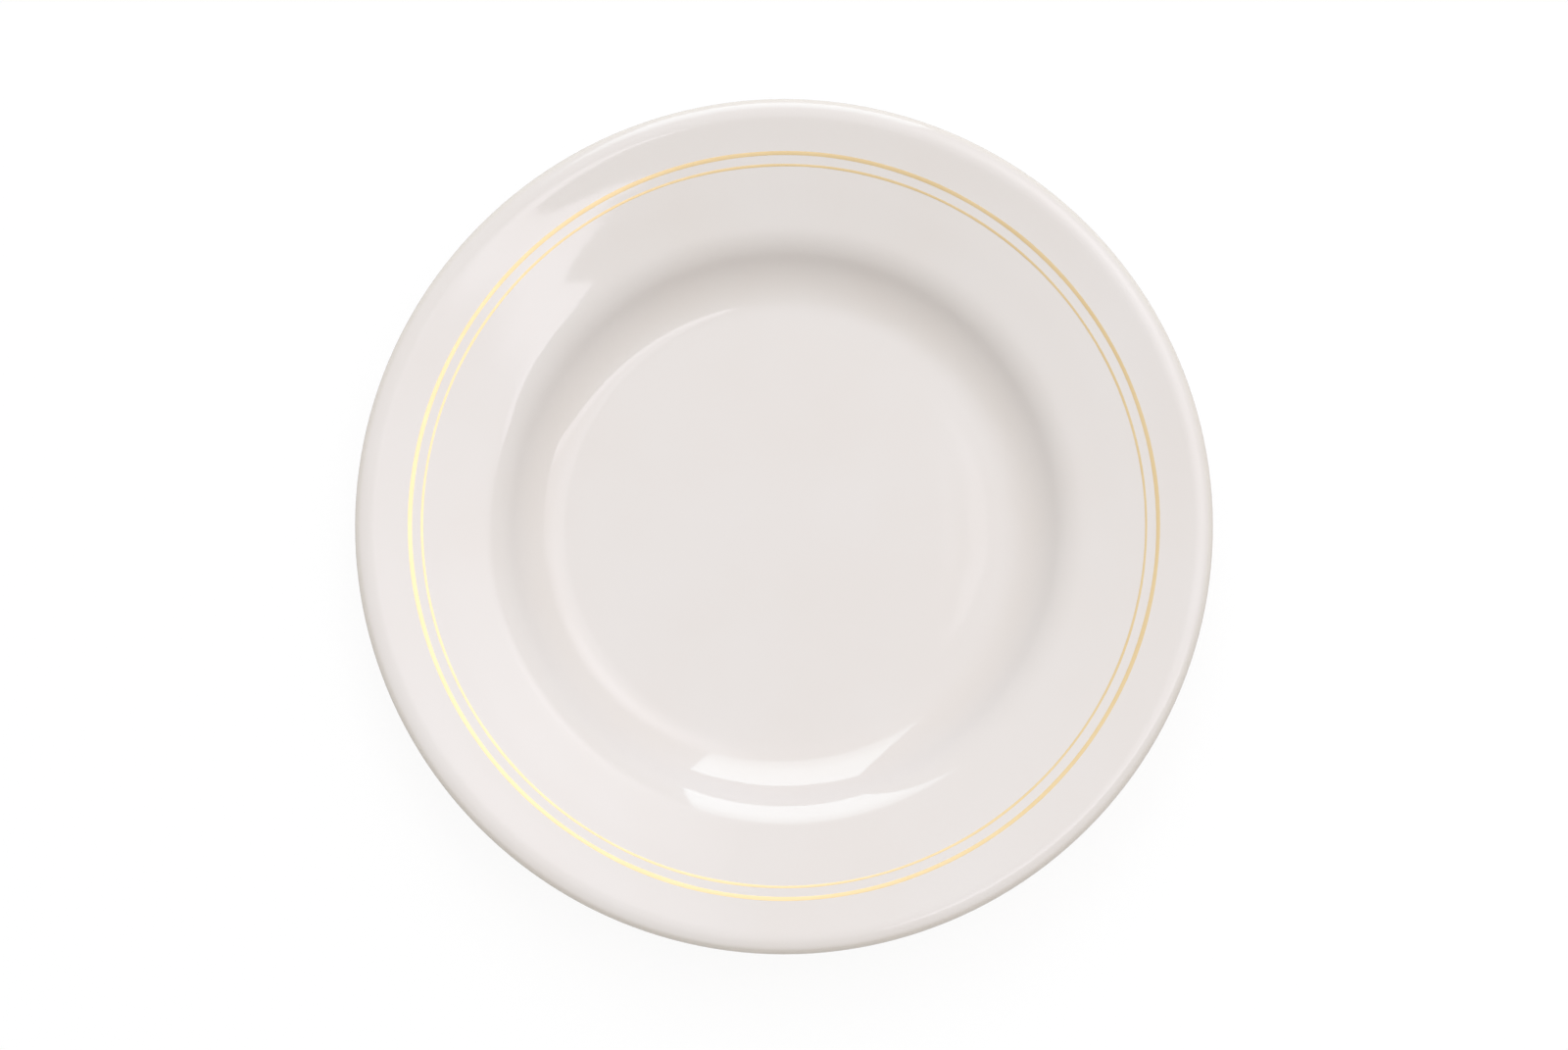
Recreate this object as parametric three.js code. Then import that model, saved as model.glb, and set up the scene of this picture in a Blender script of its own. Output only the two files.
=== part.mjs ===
// A round bread plate: a china body with a foot ring, under a glaze, with two gold lines on its rim.
// Millimetres and degrees, +Z up. The origin is the middle of the foot ring's standing face.
import * as THREE from "three";

// Face, measured on the glaze
const PLATE_DIAMETER = 160;
const RIM_WIDTH = 23.7; // end of the shoulder to the outermost edge
const RIM_SLOPE = 9.5; // degrees
const SHOULDER_RADIUS = 12; // bend from the wall to the rim
const WALL_SLOPE = 37; // degrees
const WALL_LENGTH = 0.8; // straight stretch between the two bends
const COVE_RADIUS = 16.8; // bend from the flat well to the wall

// Lip: the rim rolls over gently, then rounds its edge
const LIP_ROLL_RADIUS = 6.5;
const LIP_ROLL_TURN = 24; // degrees

// Thickness, glaze included
const PLATE_THICKNESS = 3.9;
const GLAZE_THICKNESS = 0.3;

// Foot ring
const FOOT_HEIGHT = 3.2; // standing face to the underside of the well
const FOOT_WIDTH = 4.4;
const FOOT_OUTSET = 2.7; // edge of the flat well to the foot's outer wall
const FOOT_FILLET = 0.9; // where its walls meet the underside
const FOOT_ROUND = 0.5; // edges of its standing face
const BARE_FOOT_HEIGHT = 1.1; // the glaze is wiped off below this

// Gold lines
const OUTER_LINE_INSET = 10.26; // plate's edge to the middle of the outer line
const LINE_SPACING = 2.22; // between the middles of the two lines
const OUTER_LINE_WIDTH = 0.75;
const INNER_LINE_WIDTH = 0.45;
const GOLD_THICKNESS = 0.05;

// Steps round the plate, and along each bend of its profile
const TURN_STEPS = 48;
const COVE_STEPS = 5;
const SHOULDER_STEPS = 4;
const LIP_ROLL_STEPS = 2;
const EDGE_STEPS = 3;
const FILLET_STEPS = 2;

// Headings of a profile, in degrees: out over the face is 0, and up is positive
const OUT = 0;
const UP = 90;
const DOWN = -90;
const BACK = -180;

const sine = (degrees) => Math.sin(THREE.MathUtils.degToRad(degrees));
const cosine = (degrees) => Math.cos(THREE.MathUtils.degToRad(degrees));
const at = (radius, height) => new THREE.Vector2(radius, height);
const towards = (heading) => at(cosine(heading), sine(heading));

// Radii, from the edge inwards
const edgeRadius = PLATE_DIAMETER / 2;
const rollTop = RIM_SLOPE - LIP_ROLL_TURN; // heading where the gentle roll meets the rounded edge
const rollDepth = LIP_ROLL_RADIUS * (1 - cosine(LIP_ROLL_TURN));
const edgeRound = (PLATE_THICKNESS / 2 - rollDepth) / cosine(LIP_ROLL_TURN);
const lipWidth = LIP_ROLL_RADIUS * (sine(RIM_SLOPE) - sine(rollTop)) + edgeRound * (1 + sine(rollTop));
const lipRadius = edgeRadius - lipWidth;
const outerLineRadius = edgeRadius - OUTER_LINE_INSET;
const innerLineRadius = outerLineRadius - LINE_SPACING;
const shoulderRun = SHOULDER_RADIUS * (sine(WALL_SLOPE) - sine(RIM_SLOPE));
const wallRun = WALL_LENGTH * cosine(WALL_SLOPE);
const coveRun = COVE_RADIUS * sine(WALL_SLOPE);
const wellRadius = edgeRadius - RIM_WIDTH - shoulderRun - wallRun - coveRun;
const footOuterRadius = wellRadius + FOOT_OUTSET;
const footInnerRadius = footOuterRadius - FOOT_WIDTH;

// Draws a profile like a potter's template: straight runs and bends with no corner between them
class Pen {
  constructor(radius, height, heading) {
    this.tip = at(radius, height);
    this.heading = heading;
    this.stations = [];
    this.mark();
  }

  // A station is a point of the profile and the way into the clay below it
  mark() {
    this.stations.push({ point: this.tip.clone(), inward: towards(this.heading - 90) });
    return this;
  }

  last() {
    return this.stations.at(-1);
  }

  run(length) {
    this.tip.addScaledVector(towards(this.heading), length);
    return this.mark();
  }

  outTo(radius) {
    return this.run((radius - this.tip.x) / cosine(this.heading));
  }

  upTo(height) {
    return this.run((height - this.tip.y) / sine(this.heading));
  }

  bend(bendRadius, heading, steps) {
    const start = this.heading;
    const side = heading > start ? 90 : -90; // the centre lies to the left or to the right
    const centre = this.tip.clone().addScaledVector(towards(start + side), bendRadius);
    for (let step = 1; step <= steps; step++) {
      this.heading = THREE.MathUtils.lerp(start, heading, step / steps);
      this.tip = centre.clone().addScaledVector(towards(this.heading + side), -bendRadius);
      this.mark();
    }
    return this;
  }
}

// The underside keeps one thickness below the face, and the foot's fillet leaves it at this slope
const underShoulderRadius = edgeRadius - RIM_WIDTH + PLATE_THICKNESS * sine(RIM_SLOPE);
const underCoveRadius = COVE_RADIUS + PLATE_THICKNESS;
const footSlopeSine = (FOOT_OUTSET + FOOT_FILLET) / (underCoveRadius + FOOT_FILLET);
const footSlope = THREE.MathUtils.radToDeg(Math.asin(footSlopeSine));

// The coat: out over the well and the rim with a stop at each edge of a gold line, round the lip, and back
// under the rim to the foot's outer wall
const lineEdges = (radius, width) => [radius - width / 2, radius + width / 2];
const coatPen = new Pen(0, FOOT_HEIGHT + PLATE_THICKNESS, OUT)
  .outTo(wellRadius)
  .bend(COVE_RADIUS, WALL_SLOPE, COVE_STEPS)
  .run(WALL_LENGTH)
  .bend(SHOULDER_RADIUS, RIM_SLOPE, SHOULDER_STEPS);
const innerLine = lineEdges(innerLineRadius, INNER_LINE_WIDTH).map((radius) => coatPen.outTo(radius).last());
const outerLine = lineEdges(outerLineRadius, OUTER_LINE_WIDTH).map((radius) => coatPen.outTo(radius).last());
const coat = coatPen
  .outTo(lipRadius)
  .bend(LIP_ROLL_RADIUS, rollTop, LIP_ROLL_STEPS)
  .bend(edgeRound, DOWN, EDGE_STEPS)
  .bend(edgeRound, BACK + RIM_SLOPE + LIP_ROLL_TURN, EDGE_STEPS)
  .bend(LIP_ROLL_RADIUS, BACK + RIM_SLOPE, LIP_ROLL_STEPS)
  .outTo(underShoulderRadius)
  .bend(SHOULDER_RADIUS - PLATE_THICKNESS, BACK + WALL_SLOPE, SHOULDER_STEPS)
  .run(WALL_LENGTH)
  .bend(underCoveRadius, BACK + footSlope, COVE_STEPS)
  .bend(FOOT_FILLET, DOWN, FILLET_STEPS)
  .upTo(BARE_FOOT_HEIGHT).stations;

// The bare clay of the foot, one glaze thickness inside the glazed walls
const bareWidth = FOOT_WIDTH - 2 * GLAZE_THICKNESS;
const bareFoot = new Pen(footOuterRadius - GLAZE_THICKNESS, BARE_FOOT_HEIGHT, DOWN)
  .upTo(FOOT_ROUND)
  .bend(FOOT_ROUND, BACK, FILLET_STEPS)
  .run(bareWidth - 2 * FOOT_ROUND)
  .bend(FOOT_ROUND, BACK - 90, FILLET_STEPS).stations;

// The underside of the well, inside the foot
const base = new Pen(footInnerRadius, BARE_FOOT_HEIGHT, UP)
  .upTo(FOOT_HEIGHT - FOOT_FILLET)
  .bend(FOOT_FILLET, UP + 90, FILLET_STEPS)
  .outTo(0).stations;

const surface = (stations, depth = 0) =>
  stations.map(({ point, inward }) => point.clone().addScaledVector(inward, depth));

// A skin of glaze closes on itself: its outside, then back along the clay
function glazeSkin(stations) {
  const outside = surface(stations);
  const inside = surface(stations, GLAZE_THICKNESS).reverse();
  return [...outside, ...inside, outside[0]];
}

// A gold line lies on the glaze between two stations of the rim
function goldBand(stations) {
  const [inner, outer] = surface(stations);
  const [raisedInner, raisedOuter] = surface(stations, -GOLD_THICKNESS);
  return [inner, raisedInner, raisedOuter, outer, inner];
}

const clayProfile = [
  ...surface(coat, GLAZE_THICKNESS),
  ...surface(bareFoot).slice(1),
  ...surface(base, GLAZE_THICKNESS),
];

const china = new THREE.MeshStandardMaterial({ color: 0xeee8de, roughness: 0.8 });
const glaze = new THREE.MeshStandardMaterial({ color: 0xe8e3de, roughness: 0.1 });
const gold = new THREE.MeshStandardMaterial({ color: 0xd9ae62, roughness: 0.25, metalness: 1 });

const plate = new THREE.Group();

// Turns a profile about the plate's axis
function turn(name, profile, material) {
  const upwards = [...profile].reverse(); // from the underside to the face, so that the faces point out
  const geometry = new THREE.LatheGeometry(upwards, TURN_STEPS).rotateX(Math.PI / 2);
  const mesh = new THREE.Mesh(geometry, material);
  mesh.name = name;
  plate.add(mesh);
}

turn("china_body", clayProfile, china);
turn("glaze_coat", glazeSkin(coat), glaze);
turn("base_glaze", glazeSkin(base), glaze);
turn("outer_gold_line", goldBand(outerLine), gold);
turn("inner_gold_line", goldBand(innerLine), gold);

export default plate;
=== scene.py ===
# Bread plate in glazed ivory china with two gold lines, seen from just off straight above.
from math import asin, cos, degrees, hypot, pi, radians, sin, tan

import bmesh
import bpy
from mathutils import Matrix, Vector, noise


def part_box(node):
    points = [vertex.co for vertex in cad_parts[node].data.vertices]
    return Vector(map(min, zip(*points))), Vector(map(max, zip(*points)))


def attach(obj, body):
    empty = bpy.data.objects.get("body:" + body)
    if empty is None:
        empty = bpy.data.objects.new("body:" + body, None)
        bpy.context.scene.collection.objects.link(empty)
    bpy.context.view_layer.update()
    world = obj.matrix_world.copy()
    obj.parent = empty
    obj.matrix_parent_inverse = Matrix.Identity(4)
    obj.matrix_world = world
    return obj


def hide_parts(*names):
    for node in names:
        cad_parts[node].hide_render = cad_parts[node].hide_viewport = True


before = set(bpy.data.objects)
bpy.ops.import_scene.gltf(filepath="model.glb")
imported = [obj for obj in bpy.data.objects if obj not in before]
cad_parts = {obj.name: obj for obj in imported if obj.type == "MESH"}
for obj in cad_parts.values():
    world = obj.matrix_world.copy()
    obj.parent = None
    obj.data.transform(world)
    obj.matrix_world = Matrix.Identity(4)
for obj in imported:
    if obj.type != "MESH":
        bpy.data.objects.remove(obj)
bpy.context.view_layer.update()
mm = 0.001
scene = bpy.context.scene
scene.view_settings.view_transform = "Standard"
print("frame loaded")


def sine(angle):  # of degrees
    return sin(radians(angle))


def cosine(angle):
    return cos(radians(angle))


# A profile is drawn like a potter's template, in millimetres and degrees: out over the face is 0, up is 90
def towards(heading):
    return Vector((cosine(heading), 0, sine(heading)))


def startProfile(radius, height, heading, sunk=0.0):  # sunk: how far under the drawn surface it runs
    bm = bmesh.new()
    below = towards(heading - 90) * sunk
    tip = bm.verts.new(Vector((radius, 0, height)) + below)
    return {"bm": bm, "tip": tip, "heading": heading, "sunk": sunk}


def run(pen, length, steps=1):
    for _ in range(steps):
        made = bmesh.ops.extrude_vert_indiv(pen["bm"], verts=[pen["tip"]])
        pen["tip"] = made["verts"][0]
        bmesh.ops.translate(pen["bm"], verts=[pen["tip"]], vec=towards(pen["heading"]) * length / steps)


def outTo(pen, radius, steps=1):
    away = radius + pen["sunk"] * sine(pen["heading"]) - pen["tip"].co.x
    run(pen, away / cosine(pen["heading"]), steps)


def upTo(pen, height, steps=1):
    away = height - pen["sunk"] * cosine(pen["heading"]) - pen["tip"].co.z
    run(pen, away / sine(pen["heading"]), steps)


def bend(pen, radius, heading, steps):
    turn = heading - pen["heading"]
    side = 1 if turn > 0 else -1  # the centre lies to the left or to the right
    centre = pen["tip"].co + towards(pen["heading"] + 90 * side) * (radius + pen["sunk"] * side)
    made = bmesh.ops.spin(pen["bm"], geom=[pen["tip"]], cent=centre, axis=(0, -1, 0),
                          angle=radians(turn), steps=steps)
    pen["tip"] = [part for part in made["geom_last"] if isinstance(part, bmesh.types.BMVert)][0]
    pen["heading"] = heading


def bendTo(pen, radius, heading, steps):  # a long slow bend that ends at a radius
    reach = radius + pen["sunk"] * sine(heading) - pen["tip"].co.x
    side = 1 if heading > pen["heading"] else -1
    bendRadius = reach / (sine(heading) - sine(pen["heading"]))
    bend(pen, (bendRadius - pen["sunk"]) * side, heading, steps)


finishing = {"weld": 0.002, "sharpFrom": 40}  # points this close become one; degrees between faces


def turnOnWheel(pen, steps):  # spins the profile into a skin whose faces point out of the plate
    bm = pen["bm"]
    bmesh.ops.spin(bm, geom=bm.verts[:] + bm.edges[:], cent=(0, 0, 0), axis=(0, 0, 1), angle=radians(360),
                   steps=steps, use_merge=True)
    bmesh.ops.remove_doubles(bm, verts=bm.verts[:], dist=finishing["weld"])
    bmesh.ops.recalc_face_normals(bm, faces=bm.faces[:])
    return bm


def finishPiece(bm, name, node, material):
    bmesh.ops.scale(bm, vec=(mm, mm, mm), verts=bm.verts[:])
    mesh = bpy.data.meshes.new(name)
    bm.to_mesh(mesh)
    bm.free()
    mesh.shade_smooth()
    mesh.set_sharp_from_angle(angle=radians(finishing["sharpFrom"]))  # the sides of a gold line stay crisp
    mesh.materials.append(material)
    piece = bpy.data.objects.new(name, mesh)
    scene.collection.objects.link(piece)
    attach(piece, "root")
    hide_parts(node)
    print(name, len(mesh.polygons), "faces")


def hexColour(code):  # sRGB hex to linear
    values = [int(code[i:i + 2], 16) / 255 for i in (1, 3, 5)]
    return [v / 12.92 if v <= 0.04045 else ((v + 0.055) / 1.055) ** 2.4 for v in values] + [1]


def addNode(tree, kind, settings={}, links={}):  # a Mix node's colours are inputs 6 and 7 and output 2
    made = tree.nodes.new("ShaderNode" + kind)
    for name, value in settings.items():
        if isinstance(name, int) or name in made.inputs:
            made.inputs[name].default_value = value
        else:
            setattr(made, name, value)
    for name, socket in links.items():
        tree.links.new(socket, made.inputs[name])
    return made


def startMaterial(name):
    material = bpy.data.materials.new(name)
    material.use_nodes = True
    material.node_tree.nodes.clear()
    return material, material.node_tree


soft = {"interpolation_type": "SMOOTHSTEP"}
waveLength = pi / 10  # of a wave pattern at scale 1

# White china glaze, dipped and fired to glass: a warm ivory body under a clear gloss skin. It lies a little
# deeper in tone where it pooled in the cove and thinner and warmer over the lip, and it ripples the
# reflections faintly, in blisters as fine as orange peel and in rings left by the turning
glazeLook = {
    "body": "#e4dfdc", "pooled": "#e1dad5", "thin": "#e6dfd6", "roughness": 0.04,
    "coveStart": 40 * mm, "coveMiddle": 46 * mm, "coveEnd": 52 * mm, "poolShare": 0.4,
    "lipStart": 78.6 * mm, "lipEnd": 79.9 * mm,
    "cloud": 22 * mm, "ring": 5.5 * mm, "ringStrength": 0.02, "peel": 2.4 * mm, "peelStrength": 0.015,
    "relief": 0.2 * mm,
}
glazedChina, tree = startMaterial("glazedIvoryChina")
place = addNode(tree, "TexCoord").outputs["Object"]
flat = addNode(tree, "VectorMath", {"operation": "MULTIPLY", 1: (1, 1, 0)}, {0: place})
radius = addNode(tree, "VectorMath", {"operation": "LENGTH"}, {0: flat.outputs["Vector"]}).outputs["Value"]
cloud = addNode(tree, "TexNoise", {"Scale": 1 / glazeLook["cloud"], "Detail": 2.0}, {"Vector": place})
rise = addNode(tree, "MapRange", {**soft, "From Min": glazeLook["coveStart"],
                                  "From Max": glazeLook["coveMiddle"]}, {"Value": radius})
fall = addNode(tree, "MapRange", {**soft, "From Min": glazeLook["coveEnd"],
                                  "From Max": glazeLook["coveMiddle"]}, {"Value": radius})
pool = addNode(tree, "Math", {"operation": "MULTIPLY"}, {0: rise.outputs[0], 1: fall.outputs[0]})
deep = addNode(tree, "Math", {"operation": "MULTIPLY_ADD", 1: glazeLook["poolShare"], "use_clamp": True},
               {0: pool.outputs[0], 2: cloud.outputs["Fac"]})
tint = addNode(tree, "Mix", {"data_type": "RGBA", 6: hexColour(glazeLook["body"]),
                             7: hexColour(glazeLook["pooled"])}, {0: deep.outputs[0]})
lip = addNode(tree, "MapRange", {**soft, "From Min": glazeLook["lipStart"], "From Max": glazeLook["lipEnd"]},
              {"Value": radius})
tint = addNode(tree, "Mix", {"data_type": "RGBA", 7: hexColour(glazeLook["thin"])},
               {0: lip.outputs[0], 6: tint.outputs[2]})
rings = addNode(tree, "TexWave", {"wave_type": "RINGS", "rings_direction": "Z", "Distortion": 3.0,
                                  "Scale": waveLength / glazeLook["ring"]}, {"Vector": place})
turned = addNode(tree, "Bump", {"Strength": glazeLook["ringStrength"], "Distance": glazeLook["relief"]},
                 {"Height": rings.outputs["Fac"]})
peel = addNode(tree, "TexNoise", {"Scale": 1 / glazeLook["peel"], "Detail": 1.0}, {"Vector": place})
skin = addNode(tree, "Bump", {"Strength": glazeLook["peelStrength"], "Distance": glazeLook["relief"]},
               {"Height": peel.outputs["Fac"], "Normal": turned.outputs["Normal"]})
shader = addNode(tree, "BsdfPrincipled", {"Roughness": glazeLook["roughness"], "IOR": 1.5},
                 {"Base Color": tint.outputs[2], "Normal": skin.outputs["Normal"]})
addNode(tree, "OutputMaterial", links={"Surface": shader.outputs["BSDF"]})

# Bare china clay, ground flat after firing: dry and sandy, with rings of grinding marks greyed by shelves.
# The marks are drawn coarser than real ones so that they show at all
clayLook = {"clay": "#e9e1d5", "rubbed": "#cdc2b2", "roughness": 0.8, "grit": 0.5 * mm, "mark": 0.8 * mm,
            "markStrength": 0.3, "relief": 0.1 * mm}
bareClay, tree = startMaterial("bareChinaClay")
place = addNode(tree, "TexCoord").outputs["Object"]
grit = addNode(tree, "TexNoise", {"Scale": 1 / clayLook["grit"], "Detail": 3.0}, {"Vector": place})
marks = addNode(tree, "TexWave", {"wave_type": "RINGS", "rings_direction": "Z", "Distortion": 6.0,
                                  "Scale": waveLength / clayLook["mark"]}, {"Vector": place})
wear = addNode(tree, "Math", {"operation": "MULTIPLY"}, {0: grit.outputs["Fac"], 1: marks.outputs["Fac"]})
tint = addNode(tree, "Mix", {"data_type": "RGBA", 6: hexColour(clayLook["clay"]),
                             7: hexColour(clayLook["rubbed"])}, {0: wear.outputs[0]})
rough = addNode(tree, "Bump", {"Strength": clayLook["markStrength"], "Distance": clayLook["relief"]},
                {"Height": wear.outputs[0]})
shader = addNode(tree, "BsdfPrincipled", {"Roughness": clayLook["roughness"], "IOR": 1.5},
                 {"Base Color": tint.outputs[2], "Normal": rough.outputs["Normal"]})
addNode(tree, "OutputMaterial", links={"Surface": shader.outputs["BSDF"]})

# Burnished gold, painted on with a fine brush and fired: a soft metal shine, a little uneven along the stroke
goldLook = {"gold": "#d6c29a", "thin": "#ceb78b", "roughness": 0.3, "stroke": 9 * mm}
firedGold, tree = startMaterial("firedGold")
place = addNode(tree, "TexCoord").outputs["Object"]
stroke = addNode(tree, "TexNoise", {"Scale": 1 / goldLook["stroke"], "Detail": 3.0}, {"Vector": place})
tint = addNode(tree, "Mix", {"data_type": "RGBA", 6: hexColour(goldLook["gold"]),
                             7: hexColour(goldLook["thin"])}, {0: stroke.outputs["Fac"]})
shader = addNode(tree, "BsdfPrincipled", {"Roughness": goldLook["roughness"], "Metallic": 1.0},
                 {"Base Color": tint.outputs[2]})
addNode(tree, "OutputMaterial", links={"Surface": shader.outputs["BSDF"]})
print("materials made")

plate = {
    "edgeRadius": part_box("glaze_coat")[1].x / mm,
    "rimWidth": 23.7, "rimSlope": 9.5,
    "rimSet": 0.5, "innerSwell": 61.7, "outerSwell": 74.3,  # the rim is flatter under the gold lines
    "shoulderRadius": 12, "wallSlope": 37, "wallLength": 0.8, "coveRadius": 16.8,
    "lipRollRadius": 6.5, "lipRollTurn": 24,
    "thickness": 3.9, "glazeThickness": 0.3,
    "footHeight": 3.2, "footWidth": 4.4, "footOutset": 2.7, "footFillet": 0.9, "footRound": 0.5,
    "bareHeight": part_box("glaze_coat")[0].z / mm,
    "bead": 0.13, "beadSteps": 3,  # where the glaze ends at the foot
    "wheelSteps": 192,
}
profileSteps = {
    "well": 7, "cove": 8, "shoulder": 6, "swell": 2, "rim": 3, "lipRoll": 4, "edge": 4,
    "underRoll": 3, "underRim": 6, "underShoulder": 4, "underCove": 5, "fillet": 3,
    "footRound": 4, "footFace": 3,
}
goldLines = {
    "innerLine": {"radius": 67.52, "width": 0.45, "dome": 0.005},
    "outerLine": {"radius": 69.74, "width": 0.75, "dome": 0.006},
    "lift": 0.015, "thickness": 0.04, "steps": 4,
    "stroke": 14, "drift": 0.04, "swell": 0.06,  # the brush wanders a little and swells and thins
}
firing = {"from": 44, "to": 60, "slowHeight": 0.05, "slowLength": 60,
          "quickHeight": 0.02, "quickLength": 18, "quickShift": (7, 3, 0)}

flatter = plate["rimSlope"] - plate["rimSet"]
steeper = plate["rimSlope"] + plate["rimSet"]
rollTop = plate["rimSlope"] - plate["lipRollTurn"]
rollDepth = plate["lipRollRadius"] * (1 - cosine(plate["lipRollTurn"]))
edgeRound = (plate["thickness"] / 2 - rollDepth) / cosine(plate["lipRollTurn"])
lipRadius = (plate["edgeRadius"] - edgeRound * (1 + sine(rollTop))
             - plate["lipRollRadius"] * (sine(steeper) - sine(rollTop)))
shoulderEnd = plate["edgeRadius"] - plate["rimWidth"]
wallStart = (shoulderEnd - plate["shoulderRadius"] * (sine(plate["wallSlope"]) - sine(plate["rimSlope"]))
             - plate["wallLength"] * cosine(plate["wallSlope"]))
wellRadius = wallStart - plate["coveRadius"] * sine(plate["wallSlope"])
underCove = plate["coveRadius"] + plate["thickness"]
footSlope = degrees(asin((plate["footOutset"] + plate["footFillet"]) / (underCove + plate["footFillet"])))
footInner = wellRadius + plate["footOutset"] - plate["footWidth"]


def drawPlate(sunk, fine):  # out over the face, round the lip and back under it to the foot's outer wall
    steps = {name: count * fine for name, count in profileSteps.items()}
    slope = plate["rimSlope"]
    inner, outer = goldLines["innerLine"], goldLines["outerLine"]
    pen = startProfile(0, plate["footHeight"] + plate["thickness"], 0, sunk)
    outTo(pen, wellRadius, steps["well"])
    bend(pen, plate["coveRadius"], plate["wallSlope"], steps["cove"])
    run(pen, plate["wallLength"])
    bend(pen, plate["shoulderRadius"], slope, steps["shoulder"])
    bendTo(pen, plate["innerSwell"], steeper, steps["swell"])
    bendTo(pen, inner["radius"] - inner["width"] / 2, flatter, steps["rim"])
    outTo(pen, inner["radius"] + inner["width"] / 2, goldLines["steps"])
    outTo(pen, outer["radius"] - outer["width"] / 2, fine)
    outTo(pen, outer["radius"] + outer["width"] / 2, goldLines["steps"])
    bendTo(pen, plate["outerSwell"], steeper, steps["swell"])
    outTo(pen, lipRadius, fine)
    bend(pen, plate["lipRollRadius"], rollTop, steps["lipRoll"])
    bend(pen, edgeRound, -90, steps["edge"])
    bend(pen, edgeRound, slope - 180 + plate["lipRollTurn"], steps["edge"])
    bend(pen, plate["lipRollRadius"], slope - 180, steps["underRoll"])
    outTo(pen, shoulderEnd + plate["thickness"] * sine(slope), steps["underRim"])
    bend(pen, plate["shoulderRadius"] - plate["thickness"], plate["wallSlope"] - 180, steps["underShoulder"])
    run(pen, plate["wallLength"])
    bend(pen, underCove, footSlope - 180, steps["underCove"])
    bend(pen, plate["footFillet"], -90, steps["fillet"])
    upTo(pen, plate["bareHeight"], fine)
    return pen


def drawBase(pen, wallSteps, filletSteps, floorSteps):  # up inside the foot ring and across under the well
    upTo(pen, plate["footHeight"] - plate["footFillet"], wallSteps)
    bend(pen, plate["footFillet"], 180, filletSteps)
    outTo(pen, 0, floorSteps)


def firingWave(bm):  # the rim never dries and fires quite true; the foot is ground flat again
    for vert in bm.verts:
        away = hypot(vert.co.x, vert.co.y) - firing["from"]
        share = min(max(away / (firing["to"] - firing["from"]), 0), 1)
        at = Vector((vert.co.x, vert.co.y, 0))
        slow = firing["slowHeight"] * noise.noise(at / firing["slowLength"])
        quick = firing["quickHeight"] * noise.noise(at / firing["quickLength"] + Vector(firing["quickShift"]))
        vert.co.z += share * (slow + quick)


def roundGlazeEdge(bm):  # the glaze thins to a soft bead where it was wiped off the foot
    near, upright, downwards = 0.01, 0.3, -0.7  # in height, and in how far a face looks up
    ends = [edge for edge in bm.edges
            if all(abs(vert.co.z - plate["bareHeight"]) < near for vert in edge.verts)
            and any(abs(face.normal.z) < upright for face in edge.link_faces)
            and any(face.normal.z < downwards for face in edge.link_faces)]
    bmesh.ops.bevel(bm, geom=ends, affect="EDGES", offset=plate["bead"], segments=plate["beadSteps"],
                    profile=0.5, material=-1)


def paintLine(skin, line):  # lifts a band of the glazed rim off as a thin domed line of gold
    bm = skin.copy()
    halfWidth = line["width"] / 2
    offBand = [face for face in bm.faces if face.normal.z < 0  # the underside
               or abs(hypot(*face.calc_center_median().xy) - line["radius"]) > halfWidth]
    bmesh.ops.delete(bm, geom=offBand, context="FACES")
    rise = Vector((0, 0, tan(radians(flatter))))
    for vert in bm.verts:
        outwards = Vector((vert.co.x, vert.co.y, 0)).normalized()
        across = (hypot(vert.co.x, vert.co.y) - line["radius"]) / halfWidth
        brush = outwards * line["radius"] / goldLines["stroke"]
        drift = goldLines["drift"] * noise.noise(brush)
        swell = goldLines["swell"] * noise.noise(brush + Vector((0, 0, line["radius"]))) * across
        height = goldLines["lift"] + line["dome"] * (1 - across * across)
        vert.co += vert.normal * height + (outwards + rise) * (drift + swell)
    bmesh.ops.solidify(bm, geom=bm.faces[:], thickness=goldLines["thickness"])
    return bm


coat = turnOnWheel(drawPlate(sunk=0, fine=2), plate["wheelSteps"])
firingWave(coat)
coat.normal_update()
outerGold = paintLine(coat, goldLines["outerLine"])
innerGold = paintLine(coat, goldLines["innerLine"])
bmesh.ops.solidify(coat, geom=coat.faces[:], thickness=plate["glazeThickness"])
roundGlazeEdge(coat)
finishPiece(coat, "glazeCoat", "glaze_coat", glazedChina)
finishPiece(outerGold, "outerGoldLine", "outer_gold_line", firedGold)
finishPiece(innerGold, "innerGoldLine", "inner_gold_line", firedGold)

# Clay: the same profile one glaze deeper, then round the bare foot and across the underside of the well
pen = drawPlate(sunk=plate["glazeThickness"], fine=1)
pen["sunk"] = 0
upTo(pen, plate["footRound"])
bend(pen, plate["footRound"], -180, profileSteps["footRound"])
run(pen, plate["footWidth"] - 2 * (plate["glazeThickness"] + plate["footRound"]), profileSteps["footFace"])
bend(pen, plate["footRound"], -270, profileSteps["footRound"])
pen["heading"] = 90
pen["sunk"] = plate["glazeThickness"]
drawBase(pen, wallSteps=1, filletSteps=4, floorSteps=5)
body = turnOnWheel(pen, plate["wheelSteps"])
firingWave(body)
finishPiece(body, "chinaBody", "china_body", bareClay)

# Glaze inside the foot ring
pen = startProfile(footInner, plate["bareHeight"], 90)
drawBase(pen, wallSteps=2, filletSteps=6, floorSteps=12)
base = turnOnWheel(pen, plate["wheelSteps"])
bmesh.ops.solidify(base, geom=base.faces[:], thickness=plate["glazeThickness"])
roundGlazeEdge(base)
finishPiece(base, "baseGlaze", "base_glaze", glazedChina)
print("plate made")

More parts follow.
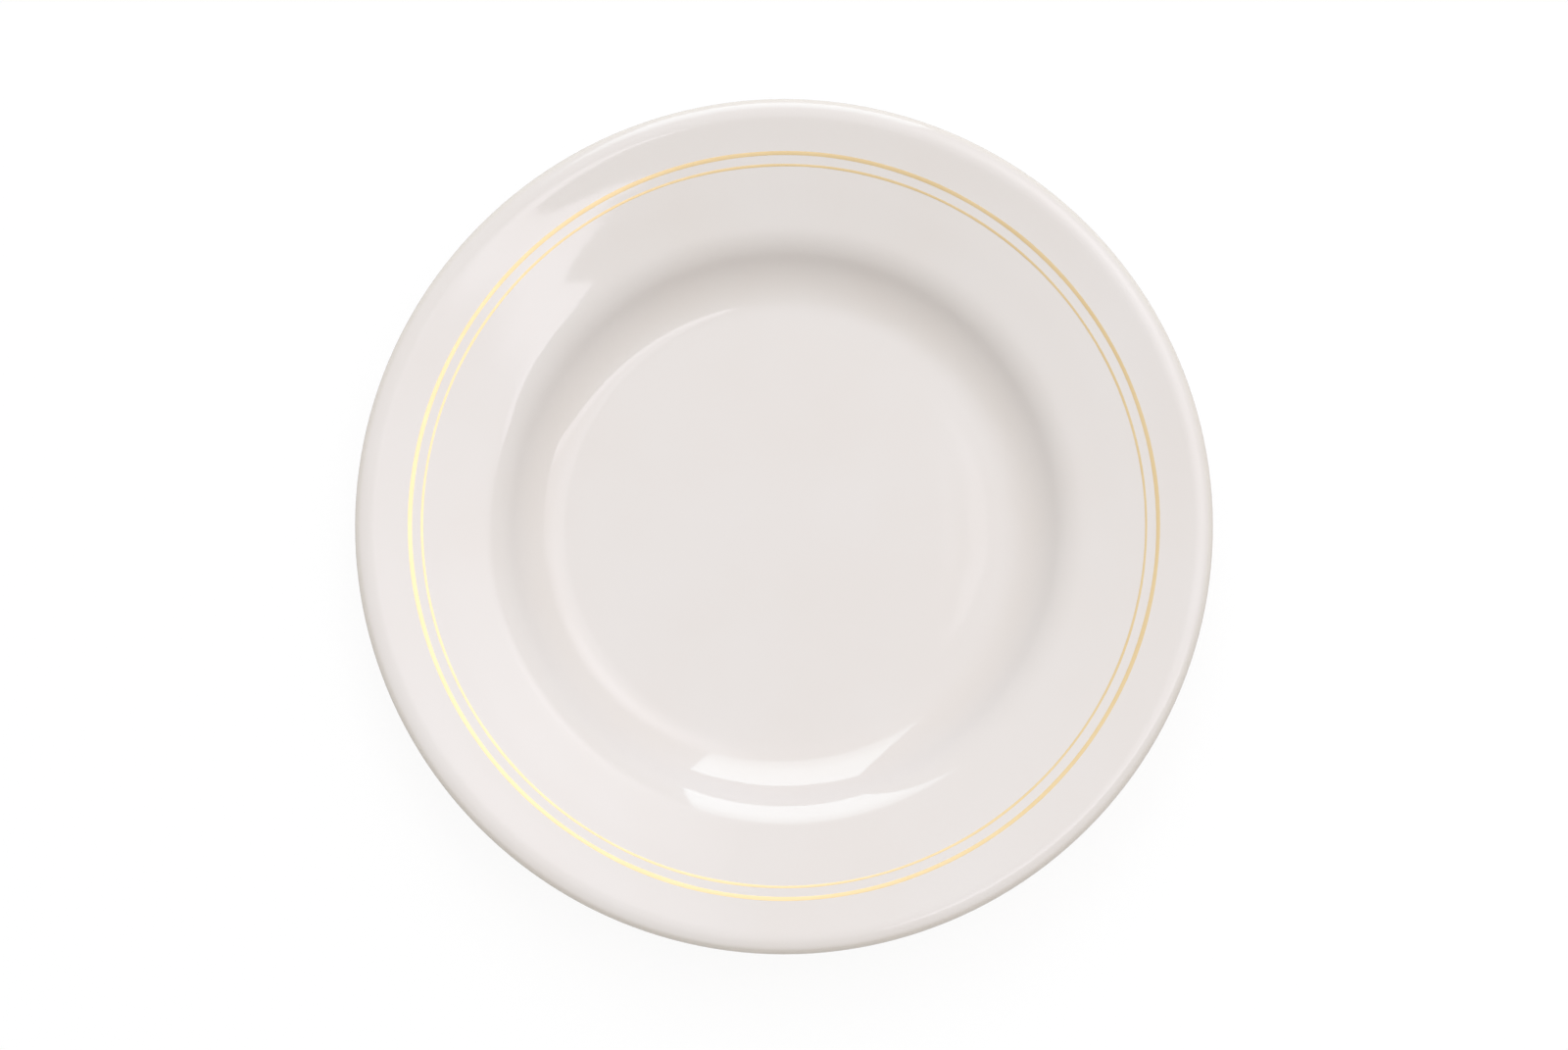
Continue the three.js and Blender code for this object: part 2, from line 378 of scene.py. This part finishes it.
# White sweep: shows as white to the eye and in reflections and keeps a soft shadow. Seen from below it is
# clear, and it lets the light under the table through
sweep = {"floor": 3.0, "curve": 0.5, "wall": 0.2, "gap": 0.05 * mm,  # metres; a hair under the foot
         "floorSteps": 2, "curveSteps": 12, "wheelSteps": 64,
         "paper": 0.6, "glow": 0.88}  # shares of white
paper, tree = startMaterial("whitePaper")
ray = addNode(tree, "LightPath")
seen = addNode(tree, "Math", {"operation": "MAXIMUM"},
               {0: ray.outputs["Is Camera Ray"], 1: ray.outputs["Is Glossy Ray"]})
seen = addNode(tree, "Math", {"operation": "MAXIMUM"},
               {0: seen.outputs[0], 1: ray.outputs["Is Transmission Ray"]})
matt = addNode(tree, "BsdfDiffuse", {"Color": [sweep["paper"]] * 3 + [1]})
shaded = addNode(tree, "BsdfDiffuse", {"Color": (1, 1, 1, 1)})
white = addNode(tree, "Emission", {"Color": (1, 1, 1, 1), "Strength": 1.0})
look = addNode(tree, "MixShader", {0: sweep["glow"]}, {1: shaded.outputs[0], 2: white.outputs[0]})
sheet = addNode(tree, "MixShader", links={0: seen.outputs[0], 1: matt.outputs[0], 2: look.outputs[0]})
clear = addNode(tree, "BsdfTransparent")
side = addNode(tree, "NewGeometry")
through = addNode(tree, "Math", {"operation": "MAXIMUM"},
                  {0: side.outputs["Backfacing"], 1: ray.outputs["Is Shadow Ray"]})
sheet = addNode(tree, "MixShader", links={0: through.outputs[0], 1: sheet.outputs[0], 2: clear.outputs[0]})
addNode(tree, "OutputMaterial", links={"Surface": sheet.outputs[0]})

pen = startProfile(0, -sweep["gap"], 0)
run(pen, sweep["floor"], sweep["floorSteps"])
bend(pen, sweep["curve"], 90, sweep["curveSteps"])
run(pen, sweep["wall"])
sheetSkin = turnOnWheel(pen, sweep["wheelSteps"])
middle = min(sheetSkin.faces, key=lambda face: face.calc_center_median().length)
if middle.normal.z < 0:
    bmesh.ops.reverse_faces(sheetSkin, faces=sheetSkin.faces[:])
sheetMesh = bpy.data.meshes.new("paperSweep")
sheetSkin.to_mesh(sheetMesh)
sheetSkin.free()
sheetMesh.shade_smooth()
sheetMesh.materials.append(paper)
sheetPiece = bpy.data.objects.new("paperSweep", sheetMesh)
scene.collection.objects.link(sheetPiece)

# Room light: a dim white room, a brighter ceiling that ends just in front of the plate, and daylight low from
# the back and the right. The camera itself sees plain white. way: towards the middle of each light;
# narrow: how fast it falls off around that
room = {
    "ceiling": {"colour": (0.40, 0.40, 0.50), "way": (0, sine(5), cosine(5)), "narrow": 8},
    "around": {"colour": (0.952, 0.926, 0.869), "way": (0, sine(7), cosine(7)), "narrow": 1},
    "back": {"colour": (0.60, 0.56, 0.68), "way": (0, 1, 0), "narrow": 2.5},
    "right": {"colour": (0.20, 0.20, 0.20), "way": (1, 0, 0), "narrow": 1},
}
ceilingFront = {"From Min": -0.20, "From Max": -0.07}  # how far forward it ends
world = bpy.data.worlds.new("room")
scene.world = world
world.use_nodes = True
tree = world.node_tree
tree.nodes.clear()
direction = addNode(tree, "TexCoord").outputs["Generated"]
forward = addNode(tree, "SeparateXYZ", links={0: direction}).outputs["Y"]
overhead = addNode(tree, "MapRange", {**soft, **ceilingFront}, {"Value": forward})
glow = None
for name, part in room.items():
    facing = addNode(tree, "VectorMath", {"operation": "DOT_PRODUCT", 1: part["way"]}, {0: direction})
    amount = addNode(tree, "Math", {"operation": "MAXIMUM", 1: 0.0}, {0: facing.outputs["Value"]})
    amount = addNode(tree, "Math", {"operation": "POWER", 1: part["narrow"]}, {0: amount.outputs[0]})
    if name == "ceiling":
        amount = addNode(tree, "Math", {"operation": "MULTIPLY"},
                         {0: amount.outputs[0], 1: overhead.outputs[0]})
    more = addNode(tree, "VectorMath", {"operation": "SCALE", 0: part["colour"]},
                   {"Scale": amount.outputs[0]})
    if glow:
        more = addNode(tree, "VectorMath", {"operation": "ADD"}, {0: glow.outputs[0], 1: more.outputs[0]})
    glow = more
sky = addNode(tree, "Background", {"Strength": 1.0}, {"Color": glow.outputs[0]})
plain = addNode(tree, "Background", {"Color": (1, 1, 1, 1), "Strength": 1.0})
ray = addNode(tree, "LightPath")
shown = addNode(tree, "MixShader",
                links={0: ray.outputs["Is Camera Ray"], 1: sky.outputs[0], 2: plain.outputs[0]})
addNode(tree, "OutputWorld", links={"Surface": shown.outputs[0]})

# fade: how bright the lamp's face is along its length, as pairs of place and level. The softbox also has a
# bright middle: its place on the face, its reach and its level
lamps = {
    "window": {"place": (-0.034, 1.368, 1.931), "turn": (-82.2, -11.4, 19.4), "size": (1.055, 2.078),
               "shine": 3.08, "colour": (0.87, 1.05, 1.12),
               "fade": [(0, 0), (0.1, 0.08), (0.3, 0.62), (0.65, 1), (1, 1)]},
    "softbox": {"place": (0.685, 0.615, 2.2), "turn": (0, 0, 0), "size": (1.19, 1.77),
                "shine": 2.31, "colour": (1.02, 0.98, 1.07),
                "fade": [(0, 1), (0.04, 1), (0.11, 0.45), (0.2, 0.4), (0.28, 0.27), (0.43, 0), (1, 0)],
                "middle": (0.59, 1.0, 0), "reach": 0.77, "level": 0.84},
    "tableLight": {"place": (0, 0, -1.2), "turn": (180, 0, 0), "size": (0.6, 0.6),  # for the underside
                   "shine": 6.0, "colour": (1, 1, 1), "fade": [(0, 1), (1, 1)]},
}
for name, lamp in lamps.items():
    light = bpy.data.lights.new(name, "AREA")
    light.shape = "RECTANGLE"
    light.color = lamp["colour"]
    light.size, light.size_y = lamp["size"]
    light.energy = lamp["shine"] * light.size * light.size_y * pi
    holder = bpy.data.objects.new(name, light)
    holder.location = lamp["place"]
    holder.rotation_euler = [radians(angle) for angle in lamp["turn"]]
    holder.visible_camera = False
    scene.collection.objects.link(holder)
    light.use_nodes = True
    tree = light.node_tree
    tree.nodes.clear()
    spot = addNode(tree, "NewGeometry").outputs["Parametric"]
    along = addNode(tree, "SeparateXYZ", links={0: spot}).outputs["Y"]
    fade = addNode(tree, "ValToRGB", links={0: along})
    fade.color_ramp.interpolation = "EASE"
    stops = fade.color_ramp.elements  # starts with one stop at each end
    for at, level in lamp["fade"]:
        stop = stops[0] if at == 0 else stops[-1] if at == 1 else stops.new(at)
        stop.color = (level, level, level, 1)
    strength = fade.outputs[0]
    if "middle" in lamp:
        metres = addNode(tree, "VectorMath", {"operation": "MULTIPLY", 1: (*lamp["size"], 0)}, {0: spot})
        away = addNode(tree, "VectorMath", {"operation": "DISTANCE", 1: lamp["middle"]},
                       {0: metres.outputs["Vector"]})
        bright = addNode(tree, "MapRange", {**soft, "From Min": lamp["reach"], "From Max": 0.0,
                                            "To Max": lamp["level"]}, {"Value": away.outputs["Value"]})
        strength = addNode(tree, "Math", {"operation": "ADD"}, {0: strength, 1: bright.outputs[0]}).outputs[0]
    shine = addNode(tree, "Emission", links={"Strength": strength})
    addNode(tree, "OutputLight", links={"Surface": shine.outputs[0]})

view = {"elevation": 85.2, "distance": 1.3, "target": (0, 0, 0.0139), "frameWidth": 292.6 * mm, "sensor": 36}
cameraData = bpy.data.cameras.new("camera")
cameraData.sensor_width = view["sensor"]
cameraData.lens = view["sensor"] * view["distance"] / view["frameWidth"]
camera = bpy.data.objects.new("camera", cameraData)
back = Vector((0, -cosine(view["elevation"]), sine(view["elevation"])))
camera.location = Vector(view["target"]) + back * view["distance"]
camera.rotation_euler = (-back).to_track_quat("-Z", "Y").to_euler()
scene.collection.objects.link(camera)
scene.camera = camera
print("studio made")
